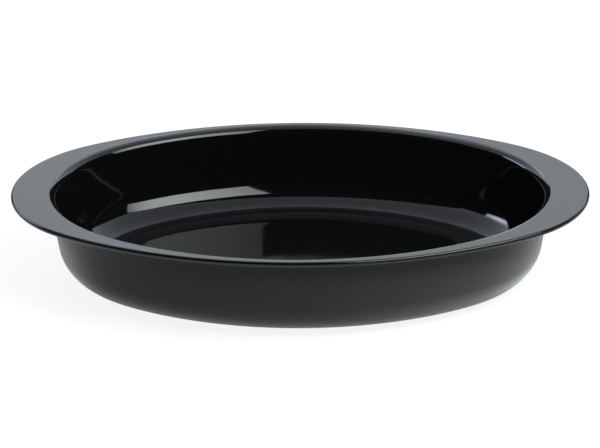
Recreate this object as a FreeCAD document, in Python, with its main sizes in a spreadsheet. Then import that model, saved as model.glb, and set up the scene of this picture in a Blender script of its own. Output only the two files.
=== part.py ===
import FreeCAD, Part
import Sketcher
import math
import os

# Oval baking dish of glazed stoneware, formed in one piece.
# The frame has its origin under the middle of the foot, +X along the length and +Z up.
# Every outline is an oval of four tangent arcs about the Z axis: two end arcs and two longer
# side arcs. They meet where the outline's normal stands at the join angle to the X axis.
# The outlines of the wall and the bowl share their arc centres, so the drafts of the outer and
# the inner face are each the same all round. The rim's outline is a larger oval, wide of the
# wall at the ends, where it serves as grips.

# Driving dimensions, in millimetres and degrees
DIMENSIONS = [
    ("rim_length", 400.0),
    ("rim_width", 260.0),
    ("rim_join", 56.6),
    ("rim_thickness", 3.6),
    ("rim_edge_bevel", 1.1),
    ("rim_root_bevel", 2.4),
    ("dish_height", 60.0),
    ("end_overhang", 26.0),
    ("side_overhang", 4.4),
    ("wall_join", 58.4),
    ("wall_draft", 8.0),
    ("wall_thickness", 4.5),
    ("bowl_draft", 17.0),
    ("floor_thickness", 4.5),
    ("lip_round", 7.5),
    ("cove_radius", 28.0),
    ("heel_radius", 25.5),
    ("foot_width", 7.0),
    ("foot_recess", 1.2),
]

doc = FreeCAD.newDocument("oval_baking_dish")
sizes = doc.addObject("Spreadsheet::Sheet", "sizes")
for row, (alias, value) in enumerate(DIMENSIONS, start=1):
    sizes.set(f"A{row}", alias)
    sizes.set(f"B{row}", str(value))
    sizes.setAlias(f"B{row}", alias)
doc.recompute()

# How near a level oval an edge must lie to be taken for one of its arcs, in millimetres
ON_OVAL = 0.01
# How far the recess may be from the volume that its outline gives, as a share of it
VOLUME_SLACK = 0.01

dish = doc.addObject("PartDesign::Body", "baking_dish")
dish.Label = "baking_dish"
level_plane = next(f for f in dish.Origin.OriginFeatures if f.Role == "XY_Plane")


def drawn_oval(half_length, half_width, end_radius):
    """The side arcs' radius and the angle at which end and side arcs meet."""
    along = half_length - end_radius
    across = half_width - end_radius
    side_centre = (along**2 - across**2) / (2 * across)
    return half_width + side_centre, math.atan2(side_centre, along)


def joined_at(join, half_length, half_width):
    """The radius that end arcs need so that they meet the side arcs at a join angle."""
    narrowing = f"tan(45 - sizes.{join} / 2)"
    return f"(({half_width}) - {narrowing} * ({half_length})) / (1 - {narrowing})"


def oval_sketch(name, height, half_length, half_width, join):
    """A level oval of four tangent arcs, its half axes and end radius bound to expressions."""
    end_radius = joined_at(join, half_length, half_width)
    sketch = dish.newObject("Sketcher::SketchObject", name)
    sketch.AttachmentSupport = [(level_plane, "")]
    sketch.MapMode = "FlatFace"
    sketch.setExpression("AttachmentOffset.Base.z", height)
    start_length, start_width, start_radius = (
        sizes.evalExpression(text) for text in (half_length, half_width, end_radius))
    side_radius, meeting = drawn_oval(start_length, start_width, start_radius)
    end_x = start_length - start_radius
    side_y = side_radius - start_width
    arcs = []
    for x, y, radius, first, last in (
        (end_x, 0, start_radius, -meeting, meeting),
        (0, -side_y, side_radius, meeting, math.pi - meeting),
        (-end_x, 0, start_radius, math.pi - meeting, math.pi + meeting),
        (0, side_y, side_radius, math.pi + meeting, 2 * math.pi - meeting),
    ):
        circle = Part.Circle(FreeCAD.Vector(x, y, 0), FreeCAD.Vector(0, 0, 1), radius)
        arcs.append(sketch.addGeometry(Part.ArcOfCircle(circle, first, last), False))
    right, top, left, bottom = arcs
    for arc, following in ((right, top), (top, left), (left, bottom), (bottom, right)):
        sketch.addConstraint(Sketcher.Constraint("Tangent", arc, 2, following, 1))
    sketch.addConstraint(Sketcher.Constraint("Equal", right, left))
    sketch.addConstraint(Sketcher.Constraint("Equal", top, bottom))
    sketch.addConstraint(Sketcher.Constraint("PointOnObject", right, 3, -1))
    sketch.addConstraint(Sketcher.Constraint("Symmetric", right, 3, left, 3, -1, 1))
    for label, constraint, expression in (
        ("end_radius", ("Radius", right, start_radius), end_radius),
        ("end_centre", ("DistanceX", -1, 1, right, 3, end_x), f"({half_length}) - ({end_radius})"),
    ):
        index = sketch.addConstraint(Sketcher.Constraint(*constraint))
        sketch.renameConstraint(index, label)
        sketch.setExpression(f"Constraints.{label}", expression)
    apex = sketch.addGeometry(Part.Point(FreeCAD.Vector(0, start_width, 0)), True)
    sketch.addConstraint(Sketcher.Constraint("PointOnObject", apex, 1, -2))
    sketch.addConstraint(Sketcher.Constraint("PointOnObject", apex, 1, top))
    index = sketch.addConstraint(Sketcher.Constraint("DistanceY", -1, 1, apex, 1, start_width))
    sketch.renameConstraint(index, "half_width")
    sketch.setExpression("Constraints.half_width", half_width)
    return sketch


def wall_oval(inset):
    """Half length, half width and join of the wall's oval, moved in by an inset."""
    return (
        f"sizes.rim_length / 2 - sizes.end_overhang - ({inset})",
        f"sizes.rim_width / 2 - sizes.side_overhang - ({inset})",
        "wall_join")


def drafted(depth, draft):
    """How far a face with this draft has come in at a depth below the rim's top."""
    return f"({depth}) * tan(sizes.{draft})"


def edges_along(feature, height, oval):
    """The names of the feature's four edges on a level oval, found by the arcs' middles."""
    level = sizes.evalExpression(height)
    half_length, half_width = (sizes.evalExpression(text) for text in oval[:2])
    names = []
    for number, edge in enumerate(feature.Shape.Edges, start=1):
        middle = edge.valueAt((edge.FirstParameter + edge.LastParameter) / 2)
        from_end = math.hypot(abs(middle.x) - half_length, middle.y)
        from_side = math.hypot(middle.x, abs(middle.y) - half_width)
        if abs(middle.z - level) < ON_OVAL and min(from_end, from_side) < ON_OVAL:
            names.append(f"Edge{number}")
    if len(names) != 4:
        raise ValueError(f"{feature.Name} has {len(names)} edges on the oval at {level:.1f} mm")
    return names


def worked_edge(kind, name, base, height, oval, bound):
    """A fillet or chamfer along one oval edge, its radius or size bound to the sheet."""
    feature = dish.newObject(f"PartDesign::{kind}", name)
    feature.Base = (base, edges_along(base, height, oval))
    feature.setExpression({"Fillet": "Radius", "Chamfer": "Size"}[kind], f"sizes.{bound}")
    doc.recompute()
    return feature


# Levels and outlines that more than one feature uses
BASE_LEVEL = "0"
TOP_LEVEL = "sizes.dish_height"
FLOOR_LEVEL = "sizes.floor_thickness"
RIM_UNDERSIDE = "sizes.dish_height - sizes.rim_thickness"
RIM_OVAL = ("sizes.rim_length / 2", "sizes.rim_width / 2", "rim_join")
FOOT_INSET = drafted("sizes.dish_height", "wall_draft")
FOOT_OVAL = wall_oval(FOOT_INSET)
ROOT_OVAL = wall_oval(drafted("sizes.rim_thickness", "wall_draft"))
FLOOR_INSET = drafted("sizes.dish_height - sizes.floor_thickness", "bowl_draft")
FLOOR_OVAL = wall_oval(f"sizes.wall_thickness + {FLOOR_INSET}")
OPENING_OVAL = wall_oval("sizes.wall_thickness")
HEEL_RUN = "sizes.heel_radius * tan(45 - sizes.wall_draft / 2)"
RECESS_OVAL = wall_oval(f"{FOOT_INSET} + {HEEL_RUN} + sizes.foot_width")

# Outer form: a drafted block from the foot to the top, and the rim as a flat plate round it
block_foot = oval_sketch("block_foot", BASE_LEVEL, *FOOT_OVAL)
block_top = oval_sketch("block_top", TOP_LEVEL, *wall_oval("0"))
block = dish.newObject("PartDesign::AdditiveLoft", "block")
block.Profile = block_foot
block.Sections = [block_top]
block.Ruled = True
rim_outline = oval_sketch("rim_outline", RIM_UNDERSIDE, *RIM_OVAL)
rim = dish.newObject("PartDesign::Pad", "rim")
rim.Profile = rim_outline
rim.setExpression("Length", "sizes.rim_thickness")
doc.recompute()

# The bowl: it opens one wall thickness inside the block, and its own draft is the steeper slope,
# so that the wall grows thicker downwards
floor_outline = oval_sketch("floor_outline", FLOOR_LEVEL, *FLOOR_OVAL)
opening = oval_sketch("opening", TOP_LEVEL, *OPENING_OVAL)
bowl = dish.newObject("PartDesign::SubtractiveLoft", "bowl")
bowl.Profile = floor_outline
bowl.Sections = [opening]
bowl.Ruled = True
doc.recompute()

# Rounded corners: inside at the floor, outside at the base, and the roll of the rim into the bowl
cove = worked_edge("Fillet", "cove", bowl, FLOOR_LEVEL, FLOOR_OVAL, "cove_radius")
heel = worked_edge("Fillet", "heel", cove, BASE_LEVEL, FOOT_OVAL, "heel_radius")
lip = worked_edge("Fillet", "lip", heel, TOP_LEVEL, OPENING_OVAL, "lip_round")

# Small bevels: in the corner under the rim, and over and under the rim's thin edge
rim_root = worked_edge("Chamfer", "rim_root", lip, RIM_UNDERSIDE, ROOT_OVAL, "rim_root_bevel")
edge_over = worked_edge("Chamfer", "edge_over", rim_root, TOP_LEVEL, RIM_OVAL, "rim_edge_bevel")
edge_under = worked_edge(
    "Chamfer", "edge_under", edge_over, RIM_UNDERSIDE, RIM_OVAL, "rim_edge_bevel")

# Shallow recess under the base, which leaves a level foot ring to stand on
recess_outline = oval_sketch("recess_outline", BASE_LEVEL, *RECESS_OVAL)
recess = dish.newObject("PartDesign::Pocket", "recess")
recess.Profile = recess_outline
recess.Reversed = True
recess.setExpression("Length", "sizes.foot_recess")
doc.recompute()
dish.Tip = recess
doc.recompute()

removed = edge_under.Shape.Volume - recess.Shape.Volume
recess_area = Part.Face(Part.Wire(Part.__sortEdges__(recess_outline.Shape.Edges))).Area
expected = recess_area * sizes.get("foot_recess")
if abs(removed - expected) > VOLUME_SLACK * expected:
    raise RuntimeError(f"the recess removed {removed:.0f} mm3, not {expected:.0f} mm3")

for item in doc.Objects:
    if "Invalid" in item.State or "Error" in item.State:
        raise RuntimeError(f"{item.Name} did not build: {item.State}")
if dish.Shape.isNull() or not dish.Shape.isValid() or len(dish.Shape.Solids) != 1:
    raise RuntimeError("baking_dish is not one valid solid")

os.makedirs("parts", exist_ok=True)
dish.Shape.exportStep("parts/baking_dish.step")
box = dish.Shape.optimalBoundingBox(False)
print(f"baking_dish {box.XLength:.2f} x {box.YLength:.2f} x {box.ZLength:.2f} mm")
print(f"volume {dish.Shape.Volume / 1000:.1f} cm3, {len(dish.Shape.Faces)} faces")
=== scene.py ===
import bpy
import math
import numpy as np
from mathutils import Matrix, Vector


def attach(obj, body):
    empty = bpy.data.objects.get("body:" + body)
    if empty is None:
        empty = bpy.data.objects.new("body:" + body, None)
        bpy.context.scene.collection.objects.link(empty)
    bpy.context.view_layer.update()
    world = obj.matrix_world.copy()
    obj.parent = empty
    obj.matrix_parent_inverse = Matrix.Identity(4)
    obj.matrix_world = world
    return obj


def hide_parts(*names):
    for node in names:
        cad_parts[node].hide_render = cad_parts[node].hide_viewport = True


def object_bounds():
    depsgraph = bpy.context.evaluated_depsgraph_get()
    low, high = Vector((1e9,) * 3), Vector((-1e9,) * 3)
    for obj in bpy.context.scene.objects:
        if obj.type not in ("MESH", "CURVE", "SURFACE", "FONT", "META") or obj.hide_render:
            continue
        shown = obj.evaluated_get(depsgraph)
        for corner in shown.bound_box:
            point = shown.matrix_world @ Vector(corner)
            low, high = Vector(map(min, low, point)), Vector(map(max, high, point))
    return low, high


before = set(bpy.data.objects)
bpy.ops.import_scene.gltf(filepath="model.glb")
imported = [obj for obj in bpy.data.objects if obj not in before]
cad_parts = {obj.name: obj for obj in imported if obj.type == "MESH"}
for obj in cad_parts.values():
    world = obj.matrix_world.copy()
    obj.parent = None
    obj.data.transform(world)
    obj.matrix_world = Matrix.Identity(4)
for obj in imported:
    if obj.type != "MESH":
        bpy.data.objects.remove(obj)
cad_low, cad_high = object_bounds()

# Sizes of the dish as in the part's source, in metres and radians
MM = 0.001
RIM_THICKNESS = 3.6 * MM
END_OVERHANG = 26 * MM
SIDE_OVERHANG = 4.4 * MM
WALL_THICKNESS = 4.5 * MM
WALL_DRAFT = math.radians(8)
BOWL_DRAFT = math.radians(17)
FLOOR_THICKNESS = 4.5 * MM
LIP_ROUND = 7.5 * MM
COVE_RADIUS = 28 * MM
HEEL_RADIUS = 25.5 * MM
FOOT_WIDTH = 7 * MM
FOOT_RECESS = 1.2 * MM

# Sizes that only this mesh has: radii of the ovals' end arcs, where the source gives join angles,
# rounds in place of the solid's bevels and its sharp edge at the recess, and a sharper lip at the ends
RIM_END_RADIUS = 100 * MM
WALL_END_RADIUS = 106.5 * MM
RIM_EDGE_ROUND = 1.7 * MM
RIM_ROOT_ROUND = 3.0 * MM
FOOT_ROUND = 0.5 * MM
LIP_ROUND_AT_ENDS = 5.8 * MM

HALF_LENGTH = cad_high.x
HALF_WIDTH = cad_high.y
HEIGHT = cad_high.z

# Columns of the mesh round the dish, a multiple of four, and steps of each column along an outline
AROUND = 640
STEPS_A_COLUMN = 64
# Half the turn over which an end arc blends into a side arc
BLEND_OF_ARCS = math.radians(9)
# How fast the lip changes from its form at the ends to its form at the sides
SIDE_POWER = 1.5

# Rings of the mesh on each part of the section
GLOSS_LIP_RINGS = 13
SATIN_LIP_RINGS = 7
FLAT_RINGS = 8
ROUND_RINGS = 8
WALL_RINGS = 12
COVE_RINGS = 28
HEEL_RINGS = 24
FOOT_ROUND_RINGS = 5
MIDDLE_RINGS = 12


def oval_join(half_length, half_width, end_radius):
    """The direction in which an end arc meets a side arc, on an oval of four tangent arcs."""
    along = half_length - end_radius
    across = half_width - end_radius
    return math.atan2((along**2 - across**2) / (2 * across), along)


def oval_points(half_length, half_width, end_radius):
    """Points and outward directions round an oval whose end and side arcs blend into each other.
    A point is where the outline faces its direction, so ovals and their offsets stay in step."""
    join = oval_join(half_length, half_width, end_radius)
    steps = AROUND // 4 * STEPS_A_COLUMN
    turn = (np.arange(steps) + 0.5) / steps * math.pi / 2
    share = np.clip((turn - join) / BLEND_OF_ARCS / 2 + 0.5, 0, 1)
    side_share = share * share * (3 - 2 * share)
    step = math.pi / 2 / steps
    sums = [
        [np.sum((1 - side_share) * np.sin(turn)), np.sum(side_share * np.sin(turn))],
        [np.sum((1 - side_share) * np.cos(turn)), np.sum(side_share * np.cos(turn))],
    ]
    end_bend, side_bend = np.linalg.solve(np.array(sums) * step, [half_length, half_width])
    bend = end_bend * (1 - side_share) + side_bend * side_share
    x = half_length - np.concatenate([[0], np.cumsum(bend * np.sin(turn) * step)])[::STEPS_A_COLUMN]
    y = np.concatenate([[0], np.cumsum(bend * np.cos(turn) * step)])[::STEPS_A_COLUMN]
    x = np.concatenate([x, -x[-2::-1], -x[1:], x[-2:0:-1]])
    y = np.concatenate([y, y[-2::-1], -y[1:], -y[-2:0:-1]])
    turns = np.arange(AROUND) / AROUND * 2 * math.pi
    return np.stack([x, y], 1), np.stack([np.cos(turns), np.sin(turns)], 1)


rim_points, facing = oval_points(HALF_LENGTH, HALF_WIDTH, RIM_END_RADIUS)
wall_points, _ = oval_points(
    HALF_LENGTH - END_OVERHANG, HALF_WIDTH - SIDE_OVERHANG, WALL_END_RADIUS)


def ring(points, outward, height):
    """One ring of the dish's skin: an oval moved outward along its directions, at a height."""
    outward = np.broadcast_to(outward, AROUND)
    height = np.broadcast_to(height, AROUND)
    flat = points + facing * outward[:, None]
    return np.column_stack([flat, height])


def drafted(depth, draft=WALL_DRAFT):
    return depth * math.tan(draft)


LIP_ANGLE = math.pi / 2 - BOWL_DRAFT
towards_side = np.abs(facing[:, 1]) ** SIDE_POWER
lip_round = LIP_ROUND_AT_ENDS + (LIP_ROUND - LIP_ROUND_AT_ENDS) * towards_side
lip_centre = -WALL_THICKNESS + lip_round * math.tan(LIP_ANGLE / 2)
COVE_HEIGHT = FLOOR_THICKNESS + COVE_RADIUS
COVE_CENTRE = -(
    WALL_THICKNESS + drafted(HEIGHT - COVE_HEIGHT, BOWL_DRAFT) + COVE_RADIUS / math.cos(BOWL_DRAFT))
HEEL_CENTRE = -(drafted(HEIGHT - HEEL_RADIUS) + HEEL_RADIUS / math.cos(WALL_DRAFT))
ROOT_ANGLE = math.pi / 2 - WALL_DRAFT
UNDERSIDE = HEIGHT - RIM_THICKNESS
ROOT_CENTRE = -drafted(RIM_THICKNESS) + RIM_ROOT_ROUND * math.tan(ROOT_ANGLE / 2)

# Where the gloss of the bowl begins on the lip, as a turn down it from the flat rim
GLOSS_AT_ENDS = math.radians(5)
GLOSS_AT_SIDES = math.radians(46)
gloss_turn = GLOSS_AT_ENDS + (GLOSS_AT_SIDES - GLOSS_AT_ENDS) * towards_side


def lip(turn):
    return ring(
        wall_points, lip_centre - lip_round * np.sin(turn),
        HEIGHT - lip_round * (1 - np.cos(turn)))


def inner_rings():
    """From the gloss line on the lip down the wall, round the cove and in to the floor's middle."""
    rings = []
    for share in np.linspace(0, 1, GLOSS_LIP_RINGS):
        rings.append(lip(gloss_turn + (LIP_ANGLE - gloss_turn) * share))
    top = HEIGHT - lip_round * (1 - math.cos(LIP_ANGLE))
    foot = COVE_HEIGHT - COVE_RADIUS * math.sin(BOWL_DRAFT)
    for height in np.linspace(top, foot, WALL_RINGS)[1:-1]:
        rings.append(ring(wall_points, -WALL_THICKNESS - drafted(HEIGHT - height, BOWL_DRAFT), height))
    for turn in np.linspace(BOWL_DRAFT, math.pi / 2, COVE_RINGS):
        rings.append(ring(
            wall_points, COVE_CENTRE + COVE_RADIUS * math.cos(turn),
            COVE_HEIGHT - COVE_RADIUS * math.sin(turn)))
    edge = rings[-1]
    for share in np.linspace(1, 0, MIDDLE_RINGS)[1:-1]:
        rings.append(np.column_stack([edge[:, :2] * share, edge[:, 2]]))
    return rings


def outer_rings():
    """From the gloss line out over the rim, round its edge, down the wall and under the foot.
    The rows of faces round the rim's edge are glossy too, and are given beside the rings."""
    rings = [lip(gloss_turn * share) for share in np.linspace(1, 0, SATIN_LIP_RINGS)]
    flat_in = rings[-1]
    flat_out = ring(rim_points, -RIM_EDGE_ROUND, HEIGHT)
    for share in np.linspace(0, 1, FLAT_RINGS)[1:-1]:
        rings.append(flat_in + (flat_out - flat_in) * share)
    edge_start = len(rings) + 1
    for turn in np.linspace(math.pi / 2, 0, ROUND_RINGS):
        rings.append(ring(
            rim_points, RIM_EDGE_ROUND * (math.cos(turn) - 1),
            HEIGHT - RIM_EDGE_ROUND * (1 - math.sin(turn))))
    for turn in np.linspace(0, math.pi / 2, ROUND_RINGS):
        rings.append(ring(
            rim_points, RIM_EDGE_ROUND * (math.cos(turn) - 1),
            UNDERSIDE + RIM_EDGE_ROUND * (1 - math.sin(turn))))
    edge_end = len(rings) - 1
    under_out = rings[-1]
    under_in = ring(wall_points, ROOT_CENTRE, UNDERSIDE)
    for share in np.linspace(0, 1, FLAT_RINGS)[1:-1]:
        rings.append(under_out + (under_in - under_out) * share)
    for turn in np.linspace(0, ROOT_ANGLE, ROUND_RINGS):
        rings.append(ring(
            wall_points, ROOT_CENTRE - RIM_ROOT_ROUND * math.sin(turn),
            UNDERSIDE - RIM_ROOT_ROUND * (1 - math.cos(turn))))
    root = UNDERSIDE - RIM_ROOT_ROUND * (1 - math.cos(ROOT_ANGLE))
    heel = HEEL_RADIUS * (1 - math.sin(WALL_DRAFT))
    for height in np.linspace(root, heel, WALL_RINGS)[1:-1]:
        rings.append(ring(wall_points, -drafted(HEIGHT - height), height))
    for turn in np.linspace(WALL_DRAFT, math.pi / 2, HEEL_RINGS):
        rings.append(ring(
            wall_points, HEEL_CENTRE + HEEL_RADIUS * math.cos(turn),
            HEEL_RADIUS * (1 - math.sin(turn))))
    rings.append(ring(wall_points, HEEL_CENTRE - FOOT_WIDTH + FOOT_ROUND, 0))
    for turn in np.linspace(0, math.pi / 2, FOOT_ROUND_RINGS)[1:]:
        rings.append(ring(
            wall_points, HEEL_CENTRE - FOOT_WIDTH + FOOT_ROUND * (1 - math.sin(turn)),
            FOOT_ROUND * (1 - math.cos(turn))))
    rings.append(ring(wall_points, HEEL_CENTRE - FOOT_WIDTH, FOOT_RECESS))
    edge = rings[-1]
    for share in np.linspace(1, 0, MIDDLE_RINGS)[1:-1]:
        rings.append(np.column_stack([edge[:, :2] * share, edge[:, 2]]))
    return rings, range(edge_start, edge_end)


# The dish's material slots
GLOSS_SLOT = 0
SATIN_SLOT = 1


def dish_mesh():
    """The whole skin as one closed mesh. The two sets of rings share the ring at the gloss line."""
    inner = inner_rings()
    outer, edge_rows = outer_rings()
    rings = inner[::-1] + outer[1:]
    points = np.concatenate(rings)
    middle_in = len(points)
    points = np.vstack([points, [0, 0, FLOOR_THICKNESS], [0, 0, FOOT_RECESS]])
    faces, slots = [], []
    for row in range(len(rings) - 1):
        outer_row = row - (len(inner) - 1)
        slot = GLOSS_SLOT if outer_row < 0 or outer_row in edge_rows else SATIN_SLOT
        for column in range(AROUND):
            after = (column + 1) % AROUND
            here, there = row * AROUND, (row + 1) * AROUND
            faces.append((here + column, there + column, there + after, here + after))
            slots.append(slot)
    last = (len(rings) - 1) * AROUND
    for column in range(AROUND):
        after = (column + 1) % AROUND
        faces.append((middle_in, column, after))
        slots.append(GLOSS_SLOT)
        faces.append((middle_in + 1, last + after, last + column))
        slots.append(SATIN_SLOT)
    mesh = bpy.data.meshes.new("dish_skin")
    mesh.from_pydata(points.tolist(), [], faces)
    mesh.polygons.foreach_set("material_index", slots)
    mesh.polygons.foreach_set("use_smooth", [True] * len(faces))
    mesh.update()
    mesh.validate()
    return mesh


# What both glazes share. A noise's scale is how many of its cells lie in a metre.
SPECK_NOISE = 900
SPECK_SOFTNESS = 0.06
MOTTLE_NOISE = 60
MOTTLE_SPREAD = 0.1
RIPPLE_NOISE = 45
SHEEN_ROUGHNESS = 0.45


def glaze(name, roughness, ior, base, speckle, speckle_share, ripple, sheen=0):
    """Black glaze with fine pale specks. Its surface ripples slightly and its roughness is mottled."""
    material = bpy.data.materials.new(name)
    material.use_nodes = True
    nodes, links = material.node_tree.nodes, material.node_tree.links
    shader = nodes["Principled BSDF"]
    shader.inputs["IOR"].default_value = ior
    place = nodes.new("ShaderNodeTexCoord")
    grain = nodes.new("ShaderNodeTexNoise")
    grain.inputs["Scale"].default_value = SPECK_NOISE
    grain.inputs["Detail"].default_value = 2
    links.new(place.outputs["Object"], grain.inputs["Vector"])
    specks = nodes.new("ShaderNodeMapRange")
    specks.inputs["From Min"].default_value = speckle_share
    specks.inputs["From Max"].default_value = speckle_share + SPECK_SOFTNESS
    links.new(grain.outputs["Fac"], specks.inputs["Value"])
    tint = nodes.new("ShaderNodeMix")
    tint.data_type = "RGBA"
    tint.inputs[6].default_value = (*base, 1)
    tint.inputs[7].default_value = (*speckle, 1)
    links.new(specks.outputs["Result"], tint.inputs["Factor"])
    links.new(tint.outputs[2], shader.inputs["Base Color"])
    mottle = nodes.new("ShaderNodeTexNoise")
    mottle.inputs["Scale"].default_value = MOTTLE_NOISE
    mottle.inputs["Detail"].default_value = 4
    links.new(place.outputs["Object"], mottle.inputs["Vector"])
    rough = nodes.new("ShaderNodeMapRange")
    rough.inputs["To Min"].default_value = roughness * (1 - MOTTLE_SPREAD)
    rough.inputs["To Max"].default_value = roughness * (1 + MOTTLE_SPREAD)
    links.new(mottle.outputs["Fac"], rough.inputs["Value"])
    links.new(rough.outputs["Result"], shader.inputs["Roughness"])
    swell = nodes.new("ShaderNodeTexNoise")
    swell.inputs["Scale"].default_value = RIPPLE_NOISE
    swell.inputs["Detail"].default_value = 1
    links.new(place.outputs["Object"], swell.inputs["Vector"])
    bump = nodes.new("ShaderNodeBump")
    bump.inputs["Strength"].default_value = 1
    bump.inputs["Distance"].default_value = ripple
    links.new(swell.outputs["Fac"], bump.inputs["Height"])
    links.new(bump.outputs["Normal"], shader.inputs["Normal"])
    shader.inputs["Sheen Weight"].default_value = sheen
    shader.inputs["Sheen Roughness"].default_value = SHEEN_ROUGHNESS
    return material


dish = bpy.data.objects.new("dish", dish_mesh())
bpy.context.scene.collection.objects.link(dish)
gloss = glaze(
    "gloss_glaze", roughness=0.055, ior=1.4, base=(0.003, 0.003, 0.003),
    speckle=(0.016, 0.018, 0.016), speckle_share=0.67, ripple=0.1 * MM)
satin = glaze(
    "satin_glaze", roughness=0.3, ior=1.24, base=(0.006, 0.0062, 0.0072),
    speckle=(0.045, 0.048, 0.045), speckle_share=0.64, ripple=0.02 * MM, sheen=1)
dish.data.materials.append(gloss)
dish.data.materials.append(satin)
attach(dish, "root")
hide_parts("baking_dish")

# Camera, from the photograph's outlines
FOCAL_PIXELS = 1900.2
CAMERA_DISTANCE = 1.3294
CAMERA_ELEVATION = math.radians(23.05)
CAMERA_TURN = math.radians(1.2586)
CAMERA_ROLL = math.radians(-0.5301)
IMAGE_WIDTH = 600
AIM_BELOW_TOP = 28.48 * MM
AIM = Vector((0, 0, HEIGHT - AIM_BELOW_TOP))
forward = Vector((0, math.cos(CAMERA_ELEVATION), -math.sin(CAMERA_ELEVATION)))
right = Vector((1, 0, 0))
up = right.cross(forward)
turn = Matrix.Rotation(CAMERA_TURN, 3, "Z")
roll_right = right * math.cos(CAMERA_ROLL) + up * math.sin(CAMERA_ROLL)
roll_up = up * math.cos(CAMERA_ROLL) - right * math.sin(CAMERA_ROLL)
axes = Matrix((turn @ roll_right, turn @ roll_up, turn @ -forward)).transposed()
camera_data = bpy.data.cameras.new("camera")
camera_data.sensor_width = 36
camera_data.lens = FOCAL_PIXELS / IMAGE_WIDTH * camera_data.sensor_width
camera_data.clip_end = 50
camera = bpy.data.objects.new("camera", camera_data)
bpy.context.scene.collection.objects.link(camera)
camera.matrix_world = Matrix.Translation(AIM - (turn @ forward) * CAMERA_DISTANCE) @ axes.to_4x4()
bpy.context.scene.camera = camera


# Studio: a wide panel over and behind the dish, a softbox in front on the right, a lamp behind on
# the left and another far behind
PANEL_COLOUR = (0.915, 0.985, 1.1)
SOFTBOX_COLOUR = (0.965, 1.035, 1.0)


def panel(
        name, centre, across, along, radiance, colour,
        spot=(0.5, 0.5), reach=1, edge=1, shares=(1, 1)):
    """A rectangular area lamp given by its two sides. Its radiance holds at a spot of its face, and
    changes to that times edge over the reach from there, with distances weighed by the shares."""
    across, along, centre = Vector(across), Vector(along), Vector(centre)
    data = bpy.data.lights.new(name, "AREA")
    data.shape = "RECTANGLE"
    data.size = across.length
    data.size_y = along.length
    data.energy = radiance * math.pi * data.size * data.size_y
    data.color = colour
    data.use_nodes = True
    nodes, links = data.node_tree.nodes, data.node_tree.links
    place = nodes.new("ShaderNodeNewGeometry")
    away = nodes.new("ShaderNodeVectorMath")
    away.operation = "SUBTRACT"
    away.inputs[1].default_value = (*spot, 0)
    weighed = nodes.new("ShaderNodeVectorMath")
    weighed.operation = "MULTIPLY"
    weighed.inputs[1].default_value = (*shares, 0)
    distance = nodes.new("ShaderNodeVectorMath")
    distance.operation = "LENGTH"
    fade = nodes.new("ShaderNodeMapRange")
    fade.interpolation_type = "SMOOTHSTEP"
    fade.inputs["From Max"].default_value = reach
    fade.inputs["To Min"].default_value = 1
    fade.inputs["To Max"].default_value = edge
    links.new(place.outputs["Parametric"], away.inputs[0])
    links.new(away.outputs["Vector"], weighed.inputs[0])
    links.new(weighed.outputs["Vector"], distance.inputs[0])
    links.new(distance.outputs["Value"], fade.inputs["Value"])
    links.new(fade.outputs["Result"], nodes["Emission"].inputs["Strength"])
    lamp = bpy.data.objects.new(name, data)
    bpy.context.scene.collection.objects.link(lamp)
    right, up = across.normalized(), along.normalized()
    axes = Matrix((right, up, right.cross(up))).transposed()
    lamp.matrix_world = Matrix.Translation(centre) @ axes.to_4x4()
    lamp.visible_camera = False


panel(
    "overhead", (-0.076, 0.545, 1.128), (2.93, 0, 0), (0, 1.50, -1.05), 0.8, PANEL_COLOUR,
    spot=(0.52, 0.28), reach=1.2, edge=2.9)
panel(
    "softbox", (0.735, -0.319, 0.945), (1.07, 0.54, -0.045), (-0.136, 0.337, 0.466), 10,
    SOFTBOX_COLOUR, spot=(0.4, 0), reach=0.65, edge=0.37, shares=(1, 0))
panel(
    "left_glow", (-1.80, 0.854, 0.912), (0.74, 0, 0), (0, 0.827, -0.578), 12, PANEL_COLOUR,
    spot=(0.5, 0.5), reach=0.5, edge=0.15, shares=(1, 0.5))
panel(
    "rear_softbox", (-0.06, 3.297, 2.265), (1.25, 0, 0), (0, 0.594, -0.865), 2.1, PANEL_COLOUR,
    spot=(0, 0.5), reach=1, edge=0.1, shares=(1, 0))


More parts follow.
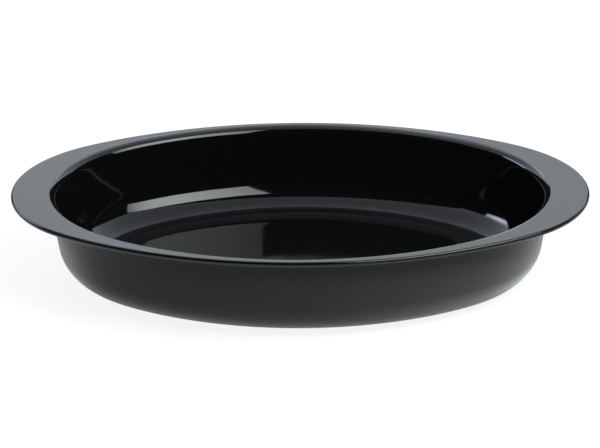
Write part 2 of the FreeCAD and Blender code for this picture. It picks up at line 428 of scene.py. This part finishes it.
def sees_background(nodes, links):
    """A socket that is 1 for the rays that show the background: the camera's, those that a surface
    mirrors and those through glass."""
    ray = nodes.new("ShaderNodeLightPath")
    shown = ray.outputs["Is Camera Ray"]
    for name in ("Is Glossy Ray", "Is Transmission Ray"):
        either = nodes.new("ShaderNodeMath")
        either.operation = "MAXIMUM"
        links.new(shown, either.inputs[0])
        links.new(ray.outputs[name], either.inputs[1])
        shown = either.outputs["Value"]
    return shown


# To the rays that show the background, the floor is a steady glow added to a weak matt part, which
# takes a light shadow. Other rays see its matt colour. It lies just below the foot.
FLOOR_GLOW = 0.88
FLOOR_MATT = 0.42
FLOOR_WEAK_MATT = 0.18
FLOOR_SIDE = 12
FLOOR_DROP = 0.1 * MM
floor_material = bpy.data.materials.new("floor")
floor_material.use_nodes = True
nodes, links = floor_material.node_tree.nodes, floor_material.node_tree.links
nodes.remove(nodes["Principled BSDF"])
matt = nodes.new("ShaderNodeBsdfDiffuse")
matt.inputs["Color"].default_value = (FLOOR_MATT, FLOOR_MATT, FLOOR_MATT, 1)
thin = nodes.new("ShaderNodeBsdfDiffuse")
thin.inputs["Color"].default_value = (FLOOR_WEAK_MATT, FLOOR_WEAK_MATT, FLOOR_WEAK_MATT, 1)
lift = nodes.new("ShaderNodeEmission")
lift.inputs["Strength"].default_value = FLOOR_GLOW
lifted = nodes.new("ShaderNodeAddShader")
links.new(thin.outputs[0], lifted.inputs[0])
links.new(lift.outputs[0], lifted.inputs[1])
choice = nodes.new("ShaderNodeMixShader")
links.new(sees_background(nodes, links), choice.inputs["Fac"])
links.new(matt.outputs[0], choice.inputs[1])
links.new(lifted.outputs[0], choice.inputs[2])
links.new(choice.outputs[0], nodes["Material Output"].inputs["Surface"])
bpy.ops.mesh.primitive_plane_add(size=FLOOR_SIDE, location=(0, 0, -FLOOR_DROP))
floor = bpy.context.object
floor.name = "floor"
floor.data.materials.append(floor_material)

# The world is dim and the same for all rays
WORLD_GREY = 0.01
world = bpy.data.worlds.new("studio")
bpy.context.scene.world = world
world.use_nodes = True
background = world.node_tree.nodes["Background"]
background.inputs["Color"].default_value = (WORLD_GREY, WORLD_GREY, WORLD_GREY, 1)
background.inputs["Strength"].default_value = 1

bpy.context.scene.view_settings.view_transform = "Standard"
